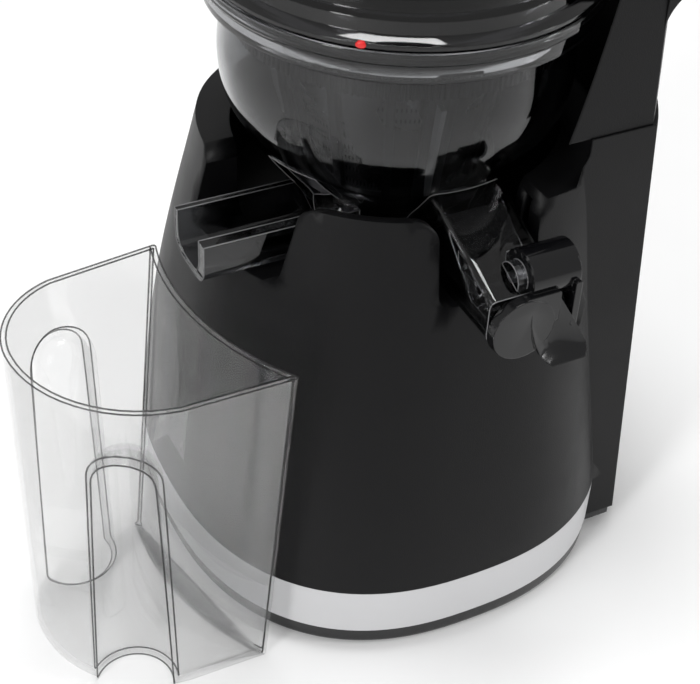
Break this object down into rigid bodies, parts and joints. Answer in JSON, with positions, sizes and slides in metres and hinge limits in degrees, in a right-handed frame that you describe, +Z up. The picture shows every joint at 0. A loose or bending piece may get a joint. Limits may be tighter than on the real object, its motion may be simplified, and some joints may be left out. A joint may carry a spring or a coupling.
{
  "type": "slow juicer",
  "caption": "Upright slow juicer with a screw auger in a clear bowl, a capped juice spout, a pulp chute, a feed tube with pusher and a pulp container beside the body.",
  "frame": {"origin": "on the surface the juicer stands on, under the vertical drive axis", "axes": "+Z up along the drive axis, +X towards the rear tower, -Y towards the juice spout"},
  "size_m": [0.2748, 0.1966, 0.426],
  "materials": {
    "black_body": "fine matt texture",
    "black_base": "satin",
    "silver_band": "satin silver",
    "foot_rubber": "matt",
    "steel": "brushed",
    "motor_steel": "zinc plated",
    "aluminium": "turned",
    "copper": "enamelled wire",
    "bearing_bronze": "sintered bronze",
    "nylon": "moulded",
    "gearbox_grey": "moulded",
    "board_green": "solder mask",
    "black_trim": "gloss",
    "smoke_clear": "clear smoke, gloss",
    "cup_clear": "clear, gloss",
    "silicone": "satin",
    "white_silicone": "satin",
    "strainer_grey": "satin",
    "mesh_steel": "etched sheet",
    "auger_grey": "moulded",
    "red_mark": "gloss"
  },
  "bodies": {
    "base": {"main_shell": "black_body", "trim_band": "silver_band", "base_plate": "black_base", "base_screws": "steel", "feet": "foot_rubber", "tower_cover": "black_body", "carry_handle": "black_body", "switch_bezel": "black_trim", "cord_inlet": "black_trim", "motor_can": "motor_steel", "motor_stator": "steel", "motor_windings": "copper", "motor_bearings": "bearing_bronze", "motor_lower_bracket": "aluminium", "idler_pin": "steel", "output_bushing": "bearing_bronze", "shaft_seal": "silicone", "gearbox_tray": "gearbox_grey", "gearbox_cover": "gearbox_grey", "gearbox_posts": "gearbox_grey", "control_board": "board_green", "reed_switch": "black_trim"},
    "output": {"output_gear": "nylon", "output_shaft": "steel"},
    "idler": {"idler_gear": "nylon"},
    "rotor": {"motor_rotor": "steel", "motor_shaft": "steel", "cooling_fan": "nylon", "motor_pinion": "steel"},
    "rocker": {"rocker": "black_trim"},
    "bowl": {"bowl": "smoke_clear", "pulp_plug": "silicone", "bowl_seal": "silicone", "strainer_frame": "strainer_grey", "strainer_mesh": "mesh_steel", "cap_pin": "steel", "pinion_pin": "steel"},
    "auger": {"auger": "auger_grey", "auger_gear": "nylon"},
    "brush": {"brush_holder": "strainer_grey", "wiper_blades": "white_silicone"},
    "brush_pinion": {"brush_pinion": "nylon"},
    "juice_cap": {"juice_cap": "black_trim", "cap_seal": "silicone"},
    "lid": {"lid": "smoke_clear", "lid_magnet": "steel", "lid_seal": "silicone", "alignment_dot": "red_mark"},
    "pusher": {"pusher": "smoke_clear"},
    "pulp_container": {"pulp_container": "cup_clear"}
  },
  "joints": [
    {"name": "output_spin", "type": "hinge", "parent": "base", "child": "output", "pos_m": [0, 0, 0.118], "axis": [0, 0, 1], "continuous": true},
    {"name": "idler_spin", "type": "hinge", "parent": "base", "child": "idler", "pos_m": [0.042, 0, 0.113], "axis": [0, 0, 1], "continuous": true},
    {"name": "motor_spin", "type": "hinge", "parent": "base", "child": "rotor", "pos_m": [0.0045, 0, 0.05], "axis": [0, 0, 1], "continuous": true},
    {"name": "switch_rock", "type": "hinge", "parent": "base", "child": "rocker", "pos_m": [0.0984, 0, 0.062], "axis": [0, 1, 0], "range_deg": [-10, 10]},
    {"name": "bowl_lift", "type": "slide", "parent": "base", "child": "bowl", "axis": [0, 0, 1], "range_m": [0, 0.12]},
    {"name": "auger_spin", "type": "hinge", "parent": "bowl", "child": "auger", "pos_m": [0, 0, 0.2], "axis": [0, 0, 1], "continuous": true},
    {"name": "brush_spin", "type": "hinge", "parent": "bowl", "child": "brush", "pos_m": [0, 0, 0.18], "axis": [0, 0, 1], "continuous": true},
    {"name": "brush_pinion_spin", "type": "hinge", "parent": "bowl", "child": "brush_pinion", "pos_m": [0.0115, 0.01992, 0.154], "axis": [0, 0, 1], "continuous": true},
    {"name": "cap_swing", "type": "hinge", "parent": "bowl", "child": "juice_cap", "pos_m": [0.011, -0.0882, 0.1637], "axis": [-1, 0, 0], "range_deg": [0, 100]},
    {"name": "lid_lift", "type": "slide", "parent": "bowl", "child": "lid", "axis": [0, 0, 1], "range_m": [0, 0.12]},
    {"name": "pusher_slide", "type": "slide", "parent": "lid", "child": "pusher", "axis": [0, 0, 1], "range_m": [0, 0.12]},
    {"name": "container_slide", "type": "slide", "parent": "base", "child": "pulp_container", "axis": [-1, 0, 0], "range_m": [0, 0.1]}
  ],
  "couplings": [
    {"joint": "idler_spin", "follows": "output_spin", "ratio": -3},
    {"joint": "motor_spin", "follows": "output_spin", "ratio": 12},
    {"joint": "auger_spin", "follows": "output_spin", "ratio": 1},
    {"joint": "brush_spin", "follows": "output_spin", "ratio": -0.53333},
    {"joint": "brush_pinion_spin", "follows": "output_spin", "ratio": -2.2857}
  ]
}
